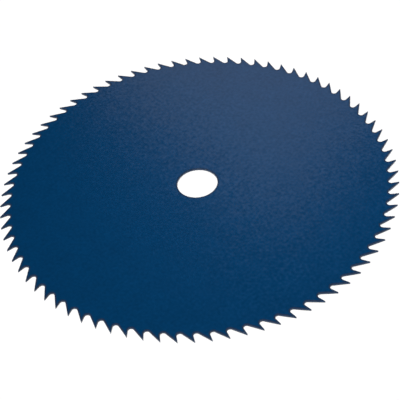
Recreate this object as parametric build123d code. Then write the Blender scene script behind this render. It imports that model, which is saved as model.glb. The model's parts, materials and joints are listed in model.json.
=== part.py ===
from build123d import *
import os
from math import acos, degrees, sqrt

# Brush cutter blade: one flat round plate of spring steel with a plain centre bore
# and a ring of hooked saw teeth, coated all over.
#
# The origin is on the bore's axis at the underside. +Z runs up along the bore, and
# +X passes through the point of one tooth. Lengths are in millimetres, angles in degrees.

# Driving dimensions
TIP_DIAMETER = 250.0      # over the points of the teeth
PLATE_THICKNESS = 1.2
BORE_DIAMETER = 25.4      # one inch, for the boss of the cutter head
TOOTH_COUNT = 80
TOOTH_DEPTH = 6.6         # from the tip circle down to the bottom of a gullet
FACE_RAKE = 13.7          # how far a cutting face leans under its point, off the radius
GULLET_RADIUS = 1.8       # rounding at the bottom of each gullet
TIP_LAND = 0.15           # strip of the round blank's rim that is left on each point

# Sizes that follow from them
TIP_RADIUS = TIP_DIAMETER / 2
ROOT_RADIUS = TIP_RADIUS - TOOTH_DEPTH
TOOTH_PITCH = 360 / TOOTH_COUNT
LAND_ANGLE = degrees(TIP_LAND / TIP_RADIUS)


def on_tip_circle(angle):
    """The place on the tip circle at an angle round from +X."""
    return Vector(TIP_RADIUS, 0).rotate(Axis.Z, angle)


def gullet_centre(point, down_face, off_face):
    """Centre of the gullet's arc, which touches the cutting face and the root circle."""
    start = point + off_face * GULLET_RADIUS
    centre_radius = ROOT_RADIUS + GULLET_RADIUS
    slope = start.dot(down_face)
    depth = -slope - sqrt(slope**2 - start.dot(start) + centre_radius**2)
    return start + down_face * depth


def foot_of_back(heel, centre):
    """Where a tooth's straight back, coming down from its heel, touches the gullet's arc."""
    to_heel = heel - centre
    swing = degrees(acos(GULLET_RADIUS / to_heel.length))
    return centre + to_heel.normalized().rotate(Axis.Z, swing) * GULLET_RADIUS


def tooth_pitch_outline():
    """One pitch of the rim: cutting face, round gullet, the next tooth's back, and its land."""
    point = on_tip_circle(0)
    heel = on_tip_circle(TOOTH_PITCH - LAND_ANGLE)
    next_point = on_tip_circle(TOOTH_PITCH)
    down_face = Vector(-1, 0).rotate(Axis.Z, FACE_RAKE)
    off_face = Vector(0, 1).rotate(Axis.Z, FACE_RAKE)
    centre = gullet_centre(point, down_face, off_face)
    face_foot = centre - off_face * GULLET_RADIUS
    bottom = centre.normalized() * ROOT_RADIUS
    back_foot = foot_of_back(heel, centre)
    return [
        Line(point, face_foot),
        ThreePointArc(face_foot, bottom, back_foot),
        Line(back_foot, heel),
        ThreePointArc(heel, on_tip_circle(TOOTH_PITCH - LAND_ANGLE / 2), next_point),
    ]


def blade():
    """The toothed plate, cut out flat and given its thickness upwards from the underside."""
    one_pitch = Curve() + tooth_pitch_outline()
    rim = Curve() + [turn * one_pitch for turn in PolarLocations(0, TOOTH_COUNT)]
    plate = make_face(rim) - Circle(BORE_DIAMETER / 2)
    return extrude(plate, PLATE_THICKNESS)


def write_parts():
    os.makedirs("parts", exist_ok=True)
    export_step(blade(), "parts/blade.step")


write_parts()
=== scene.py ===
# %% [markdown]
# # A brush cutter blade, dressed in Blender
#
# The real object is one flat plate of spring steel. A press stamps it round, with a hole in the
# middle and a ring of hooked teeth, and then the whole plate is powder coated deep blue.
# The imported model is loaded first, as a frame that is never moved. Everything here is in metres,
# in that same frame: the origin is on the bore's axis at the underside, +Z is up, and +X runs
# through the point of one tooth.

# %% Load the frame
import json
from functools import partial
from math import acos, cos, pi, radians, sin, sqrt

import bpy
from mathutils import Matrix, Vector
from mathutils.geometry import intersect_line_line


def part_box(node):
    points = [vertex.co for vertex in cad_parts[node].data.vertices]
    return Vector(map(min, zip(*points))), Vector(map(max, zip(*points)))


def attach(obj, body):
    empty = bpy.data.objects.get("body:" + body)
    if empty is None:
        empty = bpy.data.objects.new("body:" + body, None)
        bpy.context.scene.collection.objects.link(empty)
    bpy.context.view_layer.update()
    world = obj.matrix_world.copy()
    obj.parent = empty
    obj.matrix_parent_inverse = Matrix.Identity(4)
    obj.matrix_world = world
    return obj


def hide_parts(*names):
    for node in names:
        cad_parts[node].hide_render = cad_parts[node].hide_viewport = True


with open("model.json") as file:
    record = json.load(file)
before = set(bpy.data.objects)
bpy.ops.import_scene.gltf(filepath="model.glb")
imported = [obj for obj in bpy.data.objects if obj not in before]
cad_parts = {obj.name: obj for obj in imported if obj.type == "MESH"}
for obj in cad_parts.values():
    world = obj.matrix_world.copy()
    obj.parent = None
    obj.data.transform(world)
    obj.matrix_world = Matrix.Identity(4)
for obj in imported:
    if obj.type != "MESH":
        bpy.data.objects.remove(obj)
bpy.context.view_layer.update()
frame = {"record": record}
MM = 0.001

# %% [markdown]
# ## Sizes
#
# What the frame knows is read from it: the tip circle and the plate's thickness from the node's
# box, and the bore's radius from the mount that a cutter head grips. The tooth's own sizes are
# written as a drawing of the blade would give them.

# %% Sizes of the blade
lowest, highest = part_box("blade")
TIP_RADIUS = highest.x
PLATE_THICKNESS = highest.z - lowest.z
BORE_RADIUS = frame["record"]["mounts"][0]["dims"]["r_mm"] * MM

TOOTH_COUNT = 80
TOOTH_DEPTH = 6.6 * MM  # from the tip circle down to the bottom of a gullet
FACE_RAKE = radians(13.7)  # how far a cutting face leans under its point, off the radius
GULLET_RADIUS = 1.8 * MM
TIP_LAND = 0.15 * MM  # strip of the round blank's rim that is left on each point

TOOTH_PITCH = 2 * pi / TOOTH_COUNT
ROOT_RADIUS = TIP_RADIUS - TOOTH_DEPTH
print(f"tips {TIP_RADIUS / MM:.2f} mm and bore {BORE_RADIUS / MM:.2f} mm from the axis")
print(f"plate {PLATE_THICKNESS / MM:.2f} mm thick")

# %% [markdown]
# ## The gullet
#
# Under every point the cutting face runs down into a round gullet. Its arc touches both the face
# and the root circle, which fixes where its centre lies. A stamping die has that radius because a
# sharp corner there would crack.

# %% Find the gullet's centre
def polar(radius, angle):
    """A place in the plate's plane."""
    return Vector((radius * cos(angle), radius * sin(angle), 0))


def turned(place, angle):
    """The place, turned about the bore's axis."""
    return Matrix.Rotation(angle, 3, "Z") @ place


DOWN_FACE = turned(Vector((-1, 0, 0)), FACE_RAKE)
OFF_FACE = turned(Vector((0, 1, 0)), FACE_RAKE)


def gullet_centre():
    """Centre of the arc that touches the cutting face and the root circle."""
    start = polar(TIP_RADIUS, 0) + OFF_FACE * GULLET_RADIUS
    slope = start.dot(DOWN_FACE)
    centre_radius = ROOT_RADIUS + GULLET_RADIUS
    return start + DOWN_FACE * (-slope - sqrt(slope**2 - start.length_squared + centre_radius**2))


print(f"gullet centre at radius {gullet_centre().length / MM:.2f} mm")

# %% [markdown]
# ## The corners of one tooth pitch
#
# The rim is one short line, 80 times over: cutting face, gullet, the long straight back of the
# next tooth, and a hair of the round blank on its point. The same corners moved into the metal
# give the inner border of a band along the edge, where the coat is thin. In a tooth's point that
# border has its corner where the moved face meets the moved back.
# On a real blade the band is a few tenths of a millimetre wide, which is finer than a pixel of
# the picture, so it is drawn as wide as the teeth leave room for.

# %% Work out the corners
THIN_BAND = 1.3 * MM


def pitch_corners(inset):
    """Corners of one pitch, from a tooth's point to the next, moved into the metal by inset."""
    centre = gullet_centre()
    heel = polar(TIP_RADIUS, TOOTH_PITCH - TIP_LAND / TIP_RADIUS)
    to_heel = heel - centre
    off_back = turned(to_heel.normalized(), acos(GULLET_RADIUS / to_heel.length))
    up_back = to_heel - off_back * GULLET_RADIUS
    reach = GULLET_RADIUS + inset
    corners = {
        "Point": polar(TIP_RADIUS, 0),
        "Face Foot": centre - OFF_FACE * reach,
        "Gullet Bottom": centre.normalized() * (ROOT_RADIUS - inset),
        "Back Foot": centre + off_back * reach,
        "Heel": heel,
    }
    if inset > 0:
        own_foot = turned(corners["Back Foot"], -TOOTH_PITCH)
        own_back = own_foot, own_foot + turned(up_back, -TOOTH_PITCH)
        own_face = corners["Face Foot"], corners["Face Foot"] - DOWN_FACE * TOOTH_DEPTH
        corners["Point"] = intersect_line_line(*own_face, *own_back)[0]
        corners["Heel"] = turned(corners["Point"], TOOTH_PITCH)
    return corners


rim_corners = pitch_corners(0)
band_corners = pitch_corners(THIN_BAND)
for name, place in rim_corners.items():
    on_rim, on_border = place.length / MM, band_corners[name].length / MM
    print(f"{name:14s} at radius {on_rim:.2f} mm, on the band's border {on_border:.2f} mm")

# %% [markdown]
# ## Small helpers
#
# Node trees are built in code, so that every size has a name. One function adds a node, sets
# its options, and fills or links its inputs. Another turns a colour as a designer writes it,
# in sRGB hex, into the linear values that shaders work in.

# %% Helpers for nodes and colours
def add_node(tree, kind, inputs=None, **settings):
    """Adds a node and gives back its outputs.

    Its inputs are named or numbered, and each gets a value, a socket, or a list of sockets.
    """
    made = tree.nodes.new(kind)
    for setting, value in settings.items():
        setattr(made, setting, value)
    for key, given in (inputs or {}).items():
        for one in given if isinstance(given, list) else [given]:
            if isinstance(one, bpy.types.NodeSocket):
                tree.links.new(one, made.inputs[key])
            else:
                made.inputs[key].default_value = one
    return made.outputs


def linear(hex_colour):
    """Linear red, green, blue and alpha of an sRGB hex colour."""
    channels = [int(hex_colour[start : start + 2], 16) / 255 for start in (1, 3, 5)]
    return (*(c / 12.92 if c <= 0.04045 else ((c + 0.055) / 1.055) ** 2.4 for c in channels), 1.0)


def new_material(name):
    """An empty material, and its tree."""
    material = bpy.data.materials.new(name)
    material.use_nodes = True
    material.node_tree.nodes.clear()
    return material, material.node_tree


print("mid grey #808080 is", round(linear("#808080")[0], 3), "in linear light")

# %% [markdown]
# ## The finish: where the coat is thin
#
# The blade is powder coated: polyester powder is sprayed on dry and melted in an oven. The melt
# draws back from sharp corners, so a darker line that hardly shines follows the cut edge round
# both faces, and the wall of the cut between its corners is coated in full again.
# The attribute `coat`, which the plate's own tree writes, is 0 at the edge and 1 where the band
# ends. A wall is told from a face by its normal, which hardly rises.

# %% Where the coat is full
EDGE_HOLD = 0.5  # share of the band that keeps the edge's colour before it fades
WALL_RISE, CORNER_RISE = 0.1, 0.4


def coat_fullness(node):
    """From 0 at a corner, where the coat is thin, to 1 where it is full."""
    coat = node("ShaderNodeAttribute", attribute_name="coat")["Fac"]
    band = {"Value": coat, "From Min": EDGE_HOLD}
    on_face = node("ShaderNodeMapRange", band, interpolation_type="SMOOTHSTEP")[0]
    normal = node("ShaderNodeNewGeometry")["Normal"]
    rise = node("ShaderNodeSeparateXYZ", {0: normal})["Z"]
    rise = node("ShaderNodeMath", {0: rise}, operation="ABSOLUTE")[0]
    wall = {"Value": rise, "From Min": CORNER_RISE, "From Max": WALL_RISE}
    on_wall = node("ShaderNodeMapRange", wall)[0]
    return node("ShaderNodeMath", {0: on_face, 1: on_wall}, operation="MAXIMUM")[0]


print("the band keeps the edge's colour for", EDGE_HOLD * THIN_BAND / MM, "mm")

# %% [markdown]
# ## The finish: grain, with painted sheen on it
#
# A powder coat's skin isn't flat. Its small grains lean each their own way, so that some catch
# the sheen of a lamp and others miss it. Real grains of about 0.3 mm are finer than a pixel of
# the picture, so they are drawn coarser in order to show. One noise gives both the lean and a
# tone: its colour is three numbers that tilt the normal, and the one for Y, the lean towards the
# far panel, also lightens or darkens the blue. That tone is partly the grains' own and partly
# painted sheen: the grains that lean to catch the panel's sheen are painted lighter too.
# The pattern is turned in space by a Mapping node, because a flat plate that cuts the noise's own
# grid square shows rows. A wider noise clouds the blue slightly.

# %% Grain and clouds
GRAIN_WAVE = 1.8 * MM
GRAIN_SLANT = 0.6, 0.5, 0.9
GRAIN_TILT = 0.085
# how far the grain's tone lightens or darkens the blue; partly grain tone, partly painted sheen
SPECKLE_AND_PAINTED_SHEEN_DEPTH = 0.14
CLOUD_WAVE = 14 * MM
CLOUD_DEPTH = 0.04
CLOUD_DARKEST, CLOUD_LIGHTEST = 0.3, 0.7  # the range that most of the noise keeps to
NOISE_MIDDLE = 0.5, 0.5, 0.5


def grain_tone_and_painted_sheen(node):
    """The leaning normal of the skin, and how light the colour is, about 1: clouds and grain tone,
    with painted sheen on the grains that lean towards the far panel.
    """
    place = node("ShaderNodeTexCoord")["Object"]
    slanted = node("ShaderNodeMapping", {"Vector": place, "Rotation": GRAIN_SLANT})[0]
    grain = {"Vector": slanted, "Scale": 1 / GRAIN_WAVE, "Detail": 0.0}
    grain = node("ShaderNodeTexNoise", grain)["Color"]

    lean = node("ShaderNodeVectorMath", {0: grain, 1: NOISE_MIDDLE}, operation="SUBTRACT")[0]
    normal = node("ShaderNodeNewGeometry")["Normal"]
    tilt = {0: lean, 1: (GRAIN_TILT,) * 3, 2: normal}
    skin = node("ShaderNodeVectorMath", tilt, operation="MULTIPLY_ADD")[0]
    skin = node("ShaderNodeVectorMath", {0: skin}, operation="NORMALIZE")[0]

    # The lean towards the far panel also sets the grain's tone: a grain that catches that panel's
    # sheen is painted lighter, as painted sheen.
    lean_to_panel = node("ShaderNodeSeparateXYZ", {0: grain})["Y"]
    speckle_and_painted_sheen = {"Value": lean_to_panel, "To Min": 1 - SPECKLE_AND_PAINTED_SHEEN_DEPTH, "To Max": 1 + SPECKLE_AND_PAINTED_SHEEN_DEPTH}
    fleck_and_painted_sheen = node("ShaderNodeMapRange", speckle_and_painted_sheen)[0]
    cloud = node("ShaderNodeTexNoise", {"Vector": place, "Scale": 1 / CLOUD_WAVE, "Detail": 3.0})[0]
    depths = {"To Min": 1 - CLOUD_DEPTH, "To Max": 1 + CLOUD_DEPTH}
    cloud = {"Value": cloud, "From Min": CLOUD_DARKEST, "From Max": CLOUD_LIGHTEST, **depths}
    tone_and_painted_sheen = node("ShaderNodeMapRange", cloud)[0]
    tone_and_painted_sheen = node("ShaderNodeMath", {0: tone_and_painted_sheen, 1: fleck_and_painted_sheen}, operation="MULTIPLY")[0]
    return skin, tone_and_painted_sheen


print(f"a grain is {GRAIN_WAVE / MM:.1f} mm wide, with a slope of up to {GRAIN_TILT / 2:.3f}")

# %% [markdown]
# ## The finish, put together
#
# Satin powder coat is a plastic skin, so nothing in it is metallic: the blue comes from inside
# it, and the sheen is a broad and soft image of the lamp, in the lamp's own colour. Its index of
# refraction is that of polyester, about 1.5. Where the coat is thin it mirrors less.

# %% Powder coat material
COAT_BLUE = "#003760"
EDGE_BLUE = "#1F334E"
COAT_IOR = 1.5
COAT_ROUGHNESS = 0.212
COAT_SHINE, EDGE_SHINE = 0.5, 0.1


def powder_coat():
    """Deep blue satin powder coat on stamped steel: an even blue under a soft, broad sheen."""
    material, tree = new_material("blue_powder_coat")
    node = partial(add_node, tree)
    full = coat_fullness(node)
    skin, tone_and_painted_sheen = grain_tone_and_painted_sheen(node)
    # A Mix node takes its two colours at inputs 6 and 7, and gives the mixed one at output 2.
    colours = {"Factor": full, 6: linear(EDGE_BLUE), 7: linear(COAT_BLUE)}
    blue = node("ShaderNodeMix", colours, data_type="RGBA")[2]
    # The blue takes the clouds and the grain's tone, which carries painted sheen.
    blue = node("ShaderNodeVectorMath", {0: blue, 1: tone_and_painted_sheen}, operation="MULTIPLY")[0]
    shine = {"Value": full, "To Min": EDGE_SHINE, "To Max": COAT_SHINE}
    shine = node("ShaderNodeMapRange", shine)[0]
    finish = {
        "Base Color": blue,
        "Roughness": COAT_ROUGHNESS,
        "IOR": COAT_IOR,
        "Specular IOR Level": shine,
        "Normal": skin,
    }
    surface = node("ShaderNodeBsdfPrincipled", finish)[0]
    node("ShaderNodeOutputMaterial", {"Surface": surface})
    return material


coat_material = powder_coat()
print("made", coat_material.name, "with", len(coat_material.node_tree.nodes), "nodes")

# %% [markdown]
# ## A tree for the toothed line
#
# Four short curves make one pitch of the rim: the cutting face, the gullet as a real arc through
# three places, the back, and the land. The pitch is placed once for each tooth, turned by one
# more pitch each time. The tree is used twice, for the rim and for the border of the band.

# %% Tree for one pitch, placed all round
CORNERS = dict.fromkeys(rim_corners, "Vector")
LINE_COUNTS = {"Tooth Count": "Int", "Arc Steps": "Int"}


def new_tree(name, kinds):
    """A geometry tree with one geometry output, and its inputs under their names."""
    tree = bpy.data.node_groups.new(name, "GeometryNodeTree")
    for label, kind in kinds.items():
        tree.interface.new_socket(label, in_out="INPUT", socket_type="NodeSocket" + kind)
    tree.interface.new_socket("Geometry", in_out="OUTPUT", socket_type="NodeSocketGeometry")
    given = tree.nodes.new("NodeGroupInput").outputs
    return tree, {label: given[label] for label in kinds}


def toothed_line_tree():
    """One pitch as four curves, turned round the axis once for each tooth."""
    tree, given = new_tree("toothed_line", {**CORNERS, **LINE_COUNTS})
    node = partial(add_node, tree)
    point, face_foot, bottom, back_foot, heel = [given[corner] for corner in CORNERS]

    pitch = node("ShaderNodeMath", {0: 2 * pi, 1: given["Tooth Count"]}, operation="DIVIDE")[0]
    around = {"Vector": point, "Angle": pitch}
    next_point = node("ShaderNodeVectorRotate", around, rotation_type="Z_AXIS")[0]
    arc = {"Resolution": given["Arc Steps"], "Start": face_foot, "Middle": bottom, "End": back_foot}
    face = node("GeometryNodeCurvePrimitiveLine", {"Start": point, "End": face_foot})[0]
    gullet = node("GeometryNodeCurveArc", arc, mode="POINTS")[0]
    back = node("GeometryNodeCurvePrimitiveLine", {"Start": back_foot, "End": heel})[0]
    land = node("GeometryNodeCurvePrimitiveLine", {"Start": heel, "End": next_point})[0]
    joined = node("GeometryNodeJoinGeometry", {0: [face, gullet, back, land]})[0]
    one_pitch = node("GeometryNodeCurveToMesh", {"Curve": joined})[0]

    spots = node("GeometryNodeMeshLine", {"Count": given["Tooth Count"], "Offset": (0, 0, 0)})[0]
    number = node("GeometryNodeInputIndex")[0]
    angle = node("ShaderNodeMath", {0: number, 1: pitch}, operation="MULTIPLY")[0]
    turn = node("ShaderNodeCombineXYZ", {"Z": angle})[0]
    placed = {"Points": spots, "Instance": one_pitch, "Rotation": turn}
    ring = node("GeometryNodeInstanceOnPoints", placed)[0]
    whole = node("GeometryNodeRealizeInstances", {0: ring})[0]
    node("NodeGroupOutput", {0: whole})
    return tree


toothed_line = toothed_line_tree()
print("tree", toothed_line.name, "has", len(toothed_line.nodes), "nodes")

# %% [markdown]
# ## A tree for the web
#
# The plain round middle of the plate is a grid that is rolled round the axis: its columns become
# spokes and its rows become rings. The first ring is the bore's edge and the second is the inner
# border of that edge's band, so `coat` is 0 on the first ring and 1 on all the others.

# %% Tree for the web
WEB_RADII = dict.fromkeys(["Bore Radius", "Band Width", "Web Radius"], "Float")
WEB_SIZES = {**WEB_RADII, "Spokes": "Int", "Rings": "Int"}
HALF_STEP = 0.5  # keeps the numbers of rows and columns clear of rounding errors


def web_tree():
    """Rings and spokes from the bore's edge out to the web's outer ring."""
    tree, given = new_tree("web", WEB_SIZES)
    node = partial(add_node, tree)
    bore, rings = given["Bore Radius"], given["Rings"]

    columns = node("ShaderNodeMath", {0: given["Spokes"], 1: 1.0}, operation="ADD")[0]
    grid = node("GeometryNodeMeshGrid", {"Vertices X": columns, "Vertices Y": rings})[0]
    number = node("GeometryNodeInputIndex")[0]
    row = node("ShaderNodeMath", {0: number, 1: rings}, operation="FLOORED_MODULO")[0]
    column = node("ShaderNodeMath", {0: number, 1: HALF_STEP}, operation="ADD")[0]
    column = node("ShaderNodeMath", {0: column, 1: rings}, operation="DIVIDE")[0]
    column = node("ShaderNodeMath", {0: column}, operation="FLOOR")[0]

    band_end = node("ShaderNodeMath", {0: bore, 1: given["Band Width"]}, operation="ADD")[0]
    last_row = node("ShaderNodeMath", {0: rings, 1: 1.0}, operation="SUBTRACT")[0]
    rows = {"Value": row, "From Min": 1.0, "From Max": last_row}
    radii = {"To Min": band_end, "To Max": given["Web Radius"]}
    outer = node("ShaderNodeMapRange", {**rows, **radii})[0]
    off_edge = node("ShaderNodeMath", {0: row, 1: HALF_STEP}, operation="GREATER_THAN")[0]
    # A Mix node takes its two numbers at inputs 2 and 3.
    radius = node("ShaderNodeMix", {"Factor": off_edge, 2: bore, 3: outer}, data_type="FLOAT")[0]

    step = node("ShaderNodeMath", {0: 2 * pi, 1: given["Spokes"]}, operation="DIVIDE")[0]
    angle = node("ShaderNodeMath", {0: column, 1: step}, operation="MULTIPLY")[0]
    on_x = node("ShaderNodeCombineXYZ", {"X": radius})[0]
    around = {"Vector": on_x, "Angle": angle}
    place = node("ShaderNodeVectorRotate", around, rotation_type="Z_AXIS")[0]

    marked = {"Geometry": grid, "Name": "coat", "Value": off_edge}
    marked = node("GeometryNodeStoreNamedAttribute", marked)[0]
    rolled = node("GeometryNodeSetPosition", {"Geometry": marked, "Position": place})[0]
    node("NodeGroupOutput", {0: rolled})
    return tree


web = web_tree()
print("tree", web.name, "has", len(web.nodes), "nodes")

# %% [markdown]
# ## The band along the rim
#
# The rim's toothed line and the band's border have the same corners in the same order. So each
# place on the rim is told its goal on the border, in an attribute called `inner`. The line is
# extruded without moving, and the new line is then sent to its goals, which makes the band.

# %% Band along the rim
def rim_band(node, given):
    """The flat band along the teeth, and its border as a closed curve."""
    counts = {name: given[name] for name in LINE_COUNTS}
    rim_places = {corner: given[corner] for corner in CORNERS}
    border_places = {corner: given["Band " + corner] for corner in CORNERS}
    rim = node("GeometryNodeGroup", {**rim_places, **counts}, node_tree=toothed_line)[0]
    border = node("GeometryNodeGroup", {**border_places, **counts}, node_tree=toothed_line)[0]

    number = node("GeometryNodeInputIndex")[0]
    place = node("GeometryNodeInputPosition")[0]
    goal = {"Geometry": border, "Value": place, "Index": number}
    goal = node("GeometryNodeSampleIndex", goal, data_type="FLOAT_VECTOR")[0]
    told = {"Geometry": rim, "Name": "inner", "Value": goal}
    told = node("GeometryNodeStoreNamedAttribute", told, data_type="FLOAT_VECTOR")[0]
    line = node("GeometryNodeMergeByDistance", {"Geometry": told, "Distance": given["Weld"]})[0]
    line = {"Geometry": line, "Name": "coat", "Value": 0.0}
    line = node("GeometryNodeStoreNamedAttribute", line)[0]

    pulled = node("GeometryNodeExtrudeMesh", {"Mesh": line, "Offset Scale": 0.0}, mode="EDGES")
    inner = node("GeometryNodeInputNamedAttribute", {"Name": "inner"}, data_type="FLOAT_VECTOR")[0]
    moved = {"Geometry": pulled["Mesh"], "Selection": pulled["Top"], "Position": inner}
    band = node("GeometryNodeSetPosition", moved)[0]
    marked = {"Geometry": band, "Selection": pulled["Top"], "Name": "coat", "Value": 1.0}
    band = node("GeometryNodeStoreNamedAttribute", marked)[0]
    band = node("GeometryNodeRemoveAttribute", {"Geometry": band, "Name": "inner"})[0]

    border = node("GeometryNodeMergeByDistance", {"Geometry": border, "Distance": given["Weld"]})[0]
    return band, node("GeometryNodeMeshToCurve", {"Mesh": border})[0]


print("the band is", THIN_BAND / MM, "mm wide")

# %% [markdown]
# ## The flat sheet
#
# The gap from the band's border to the web is filled between two closed curves. The filling's
# outer and inner corners fall on those of its neighbours, so that welding makes one sheet of
# band, filling and web. The web ends a little inside the deepest part of the band.

# %% Flat sheet
WEB_RADIUS = 114 * MM


def flat_sheet(node, given):
    """Band, filling and web, welded into one flat sheet with a bore."""
    band, border = rim_band(node, given)
    circle = {"Resolution": given["Spokes"], "Radius": given["Web Radius"]}
    circle = node("GeometryNodeCurvePrimitiveCircle", circle)[0]
    loops = node("GeometryNodeJoinGeometry", {0: [border, circle]})[0]
    filling = node("GeometryNodeFillCurve", {"Curve": loops})[0]
    filling = {"Geometry": filling, "Name": "coat", "Value": 1.0}
    filling = node("GeometryNodeStoreNamedAttribute", filling)[0]
    middle = {name: given[name] for name in WEB_SIZES}
    middle = node("GeometryNodeGroup", middle, node_tree=web)[0]
    sheet = node("GeometryNodeJoinGeometry", {0: [band, filling, middle]})[0]
    return node("GeometryNodeMergeByDistance", {"Geometry": sheet, "Distance": given["Weld"]})[0]


filling_width = band_corners["Gullet Bottom"].length - WEB_RADIUS
print(f"the filling is {filling_width / MM:.2f} mm wide at its narrowest")

# %% [markdown]
# ## A tree for the whole plate
#
# A press would cut the sheet out of plate that has its thickness already. Here the flat sheet is
# faced upwards and pulled up by the plate's thickness, and a copy that faces down closes it from
# below. The tree ends in Realize Instances and Set Material, as what is exported has to be real.

# %% Tree for the plate
def toothed_plate_tree():
    """The coated plate, from the corners of its rim and of the band along it."""
    band_corner_kinds = {"Band " + corner: kind for corner, kind in CORNERS.items()}
    own_kinds = {"Plate Thickness": "Float", "Weld": "Float", "Coat": "Material"}
    kinds = {**CORNERS, **band_corner_kinds, **LINE_COUNTS, **WEB_SIZES, **own_kinds}
    tree, given = new_tree("toothed_plate", kinds)
    node = partial(add_node, tree)

    sheet = flat_sheet(node, given)
    normal = node("GeometryNodeInputNormal")[0]
    facing = {0: normal, 1: (0, 0, -1)}
    down = node("ShaderNodeVectorMath", facing, operation="DOT_PRODUCT")["Value"]
    top = node("GeometryNodeFlipFaces", {"Mesh": sheet, "Selection": down})[0]
    underside = node("GeometryNodeFlipFaces", {"Mesh": top})[0]
    upwards = node("ShaderNodeCombineXYZ", {"Z": given["Plate Thickness"]})[0]
    raised = {"Mesh": top, "Offset": upwards, "Individual": False}
    raised = node("GeometryNodeExtrudeMesh", raised, mode="FACES")["Mesh"]
    both = node("GeometryNodeJoinGeometry", {0: [underside, raised]})[0]
    closed = node("GeometryNodeMergeByDistance", {"Geometry": both, "Distance": given["Weld"]})[0]

    whole = node("GeometryNodeRealizeInstances", {0: closed})[0]
    coated = node("GeometryNodeSetMaterial", {"Geometry": whole, "Material": given["Coat"]})[0]
    node("NodeGroupOutput", {0: coated})
    return tree


toothed_plate = toothed_plate_tree()
print("tree", toothed_plate.name, "has", len(toothed_plate.nodes), "nodes")

# %% [markdown]
# ## Make the plate
#
# The tree runs once on an empty object. Its inputs are set by their sockets' identifiers before
# that. The result is kept as a plain mesh, because the modifier's work is then done.

# %% Grow the plate
PLATE_INPUTS = {
    **rim_corners,
    **{"Band " + corner: place for corner, place in band_corners.items()},
    "Tooth Count": TOOTH_COUNT,
    "Arc Steps": 13,
    "Bore Radius": BORE_RADIUS,
    "Band Width": THIN_BAND,
    "Web Radius": WEB_RADIUS,
    "Spokes": 2 * TOOTH_COUNT,
    "Rings": 6,
    "Plate Thickness": PLATE_THICKNESS,
    "Weld": 0.001 * MM,
    "Coat": coat_material,
}


def grown(name, tree, inputs):
    """A plain mesh object, grown by a geometry tree with these inputs."""
    made = bpy.data.objects.new(name, bpy.data.meshes.new(name))
    bpy.context.scene.collection.objects.link(made)
    modifier = made.modifiers.new(name, "NODES")
    modifier.node_group = tree
    for item in tree.interface.items_tree:
        if item.in_out == "INPUT":
            modifier[item.identifier] = inputs[item.name]
    evaluated = made.evaluated_get(bpy.context.evaluated_depsgraph_get())
    mesh = bpy.data.meshes.new_from_object(evaluated)
    made.modifiers.clear()
    made.data = mesh
    return made


plate = grown("toothed_plate", toothed_plate, PLATE_INPUTS)
plate.data.shade_smooth()
print("plate has", len(plate.data.vertices), "points and", len(plate.data.polygons), "faces")

# %% [markdown]
# ## Round its edges
#
# No stamped and coated edge is a knife's. A fine bevel stands for the corner that the melted coat
# rounds off. Seen close, it catches the thin line of light that makes an edge look real. Its
# normals are hardened, so that the flat faces beside it still shade as flat.

# %% Rounded edges
CORNER_ROUNDING = 0.07 * MM  # under half of the land, so that two corners never meet on it
CORNER_STEPS = 2
SHARPER_THAN = radians(35)  # leaves alone the small turns between the steps of a gullet's arc

rounding = plate.modifiers.new("rounded_edges", "BEVEL")
rounding.width = CORNER_ROUNDING
rounding.segments = CORNER_STEPS
rounding.limit_method = "ANGLE"
rounding.angle_limit = SHARPER_THAN
rounding.harden_normals = True
print("edges rounded by", CORNER_ROUNDING / MM, "mm")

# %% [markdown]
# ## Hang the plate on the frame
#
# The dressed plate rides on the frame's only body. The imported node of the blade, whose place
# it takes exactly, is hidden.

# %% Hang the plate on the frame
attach(plate, "root")
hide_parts("blade")

# %% [markdown]
# ## The camera
#
# A product photographer stands back with a long lens, so that a round thing keeps its shape.
# The camera is placed as on an orbit: how far round, how high, how far away. Then it is turned a
# little about its own axis, and slid sideways and down until the blade sits where it should.

# %% Place the camera
ORBIT = radians(1.544)
ELEVATION = radians(45.183)
ROLL = radians(-7.816)
DISTANCE = 0.7489
SLIDE_RIGHT = 1.547 * MM
SLIDE_UP = -9.861 * MM
LENS_MM = 107.4

back = Vector((sin(ORBIT) * cos(ELEVATION), -cos(ORBIT) * cos(ELEVATION), sin(ELEVATION)))
level = Vector((cos(ORBIT), sin(ORBIT), 0))
upright = back.cross(level)
right = cos(ROLL) * level + sin(ROLL) * upright
up = cos(ROLL) * upright - sin(ROLL) * level

camera = bpy.data.objects.new("camera", bpy.data.cameras.new("camera"))
bpy.context.scene.collection.objects.link(camera)
camera.matrix_world = Matrix((right, up, back)).transposed().to_4x4()
camera.location = back * DISTANCE + right * SLIDE_RIGHT + up * SLIDE_UP
camera.data.lens = LENS_MM
bpy.context.scene.camera = camera
print("camera at", [round(part, 3) for part in camera.location])

# %% [markdown]
# ## White paper
#
# The blade lies on white paper. Paper is matt, pressed from fibres that scatter light evenly.
# If its colour were white, the key lamp would make it brighter than white in the picture, and it
# would then eat into the blade's outline. So it is a mid grey that adds some light of its own,
# seen only by the camera and in reflections: it comes out white, it lights nothing, and the
# blade's shadow stays on it. In the middle of the key lamp's pool it needs less of that glow.

# %% Paper material
PAPER_GREY = "#949494"
POOL_CENTRE = 45 * MM, 10 * MM, 0
POOL_INNER, POOL_OUTER = 80 * MM, 460 * MM
LEAST_GLOW, MOST_GLOW = 0.70, 1.0


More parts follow.
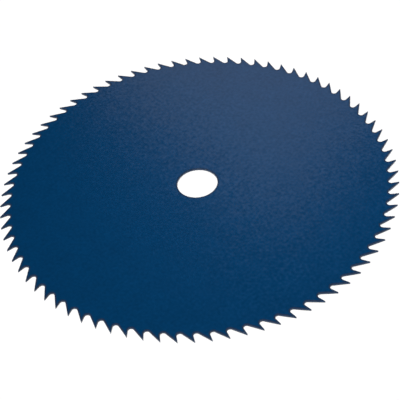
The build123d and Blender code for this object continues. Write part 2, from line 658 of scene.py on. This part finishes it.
def white_paper():
    """Matt white paper, which shows as white to the camera and in reflections."""
    material, tree = new_material("white_paper")
    node = partial(add_node, tree)
    ray = node("ShaderNodeLightPath")
    seen = {0: ray["Is Camera Ray"], 1: ray["Is Glossy Ray"]}
    seen = node("ShaderNodeMath", seen, operation="MAXIMUM")[0]
    seen = node("ShaderNodeMath", {0: seen, 1: ray["Is Transmission Ray"]}, operation="MAXIMUM")[0]

    place = node("ShaderNodeTexCoord")["Object"]
    away = node("ShaderNodeVectorMath", {0: place, 1: POOL_CENTRE}, operation="DISTANCE")["Value"]
    pool = {"Value": away, "From Min": POOL_INNER, "From Max": POOL_OUTER}
    glow = {"To Min": LEAST_GLOW, "To Max": MOST_GLOW}
    strength = node("ShaderNodeMapRange", {**pool, **glow})[0]
    strength = node("ShaderNodeMath", {0: seen, 1: strength}, operation="MULTIPLY")[0]

    matt = node("ShaderNodeBsdfDiffuse", {"Color": linear(PAPER_GREY)})[0]
    light = node("ShaderNodeEmission", {"Color": linear("#FFFFFF"), "Strength": strength})[0]
    both = node("ShaderNodeAddShader", {0: matt, 1: light})[0]
    node("ShaderNodeOutputMaterial", {"Surface": both})
    return material


paper = white_paper()
print("made", paper.name, "with", len(paper.node_tree.nodes), "nodes")

# %% [markdown]
# ## White sweep
#
# The paper is a wide floor that curves up into a low wall, as in a studio, so that no corner
# shows. It is turned about the vertical, and it lies a hair under the blade.

# %% White sweep
FLOOR_GAP = 0.1 * MM
FLOOR_RADIUS = 5.0
BEND_RADIUS = 0.5
BEND_STEPS = 6
WALL_HEIGHT = 1.1
SWEEP_SIDES = 96


def white_sweep():
    """A round floor that bends up into a low wall, turned about the vertical."""
    bend = [pi / 2 * step / BEND_STEPS for step in range(BEND_STEPS + 1)]
    start = FLOOR_RADIUS - BEND_RADIUS
    profile = [(start + BEND_RADIUS * sin(turn), BEND_RADIUS * (1 - cos(turn))) for turn in bend]
    profile.append((FLOOR_RADIUS, WALL_HEIGHT))
    sides = range(SWEEP_SIDES)
    points = [(0, 0, -FLOOR_GAP)]
    for radius, height in profile:
        rim = [polar(radius, 2 * pi * side / SWEEP_SIDES) for side in sides]
        points += [(place.x, place.y, height - FLOOR_GAP) for place in rim]
    faces = [(0, 1 + side, 1 + (side + 1) % SWEEP_SIDES) for side in sides]
    for ring in range(len(profile) - 1):
        low = 1 + ring * SWEEP_SIDES
        high = low + SWEEP_SIDES
        for side in sides:
            after = (side + 1) % SWEEP_SIDES
            faces.append((low + side, high + side, high + after, low + after))
    mesh = bpy.data.meshes.new("white_sweep")
    mesh.from_pydata(points, [], faces)
    mesh.shade_smooth()
    mesh.materials.append(paper)
    made = bpy.data.objects.new("white_sweep", mesh)
    bpy.context.scene.collection.objects.link(made)
    return made


sweep = white_sweep()
print("sweep has", len(sweep.data.polygons), "faces")

# %% [markdown]
# ## Lamps
#
# Two soft boxes light the blade. The key lamp is high and on the camera's side, so its own
# mirror image falls away from the lens and the blue keeps its depth. A dimmer panel stands low
# behind the blade. The satin coat mirrors it as the pale sheen on the far side and the right.

# %% Soft boxes
def direction(around, height):
    """The way to a lamp: degrees round from the far side, clockwise from above, and up."""
    around, height = radians(around), radians(height)
    return Vector((sin(around) * cos(height), cos(around) * cos(height), sin(height)))


PANEL_COLOUR = "#FFF6F2"  # a touch warmer than white


def soft_box(name, way, distance, size, radiance, aim=(0, 0, 0), turn=0.0, spread=180.0):
    """A rectangular soft lamp that faces a place on the blade.

    It glows with this radiance when it spreads its light all round in front. A narrower spread
    sends the same power ahead, so the middle of its beam is brighter.
    """
    lamp = bpy.data.lights.new(name, "AREA")
    lamp.shape = "RECTANGLE"
    lamp.size, lamp.size_y = size
    lamp.energy = radiance * pi * size[0] * size[1]
    lamp.spread = radians(spread)
    made = bpy.data.objects.new(name, lamp)
    bpy.context.scene.collection.objects.link(made)
    place = Matrix.Translation(Vector(aim) + way * distance)
    facing = way.to_track_quat("Z", "Y").to_matrix().to_4x4()
    made.matrix_world = place @ facing @ Matrix.Rotation(radians(turn), 4, "Z")
    return made


key = soft_box(
    "key_lamp",
    direction(around=198, height=70),
    distance=1.0,
    size=(0.5, 0.5),
    radiance=1.3,
    aim=(0.05, 0.025, 0),
    spread=36.9,
)
panel = soft_box(
    "far_panel",
    direction(around=7.3, height=31.3),
    distance=0.9,
    size=(0.406, 0.392),
    radiance=0.682,
    turn=48.1,
)
panel.data.color = linear(PANEL_COLOUR)[:3]
print("lamps", key.name, panel.name)

# %% [markdown]
# ## The room
#
# A studio's walls send a little light back from all round. The world stands for them, at a
# hundredth of white.

# %% Dim room
ROOM_LIGHT = 0.01

room = bpy.data.worlds.new("dim_room")
bpy.context.scene.world = room
room.use_nodes = True
backdrop = room.node_tree.nodes["Background"].inputs
backdrop["Color"].default_value = linear("#FFFFFF")
backdrop["Strength"].default_value = ROOM_LIGHT
print("the room gives", ROOM_LIGHT, "of white")

# %% [markdown]
#
# The Standard view puts no film curve on the picture, so that a colour of this script comes out
# as its hex value where the light is plain.

# %% Finish
bpy.context.scene.view_settings.view_transform = "Standard"
bpy.context.view_layer.update()
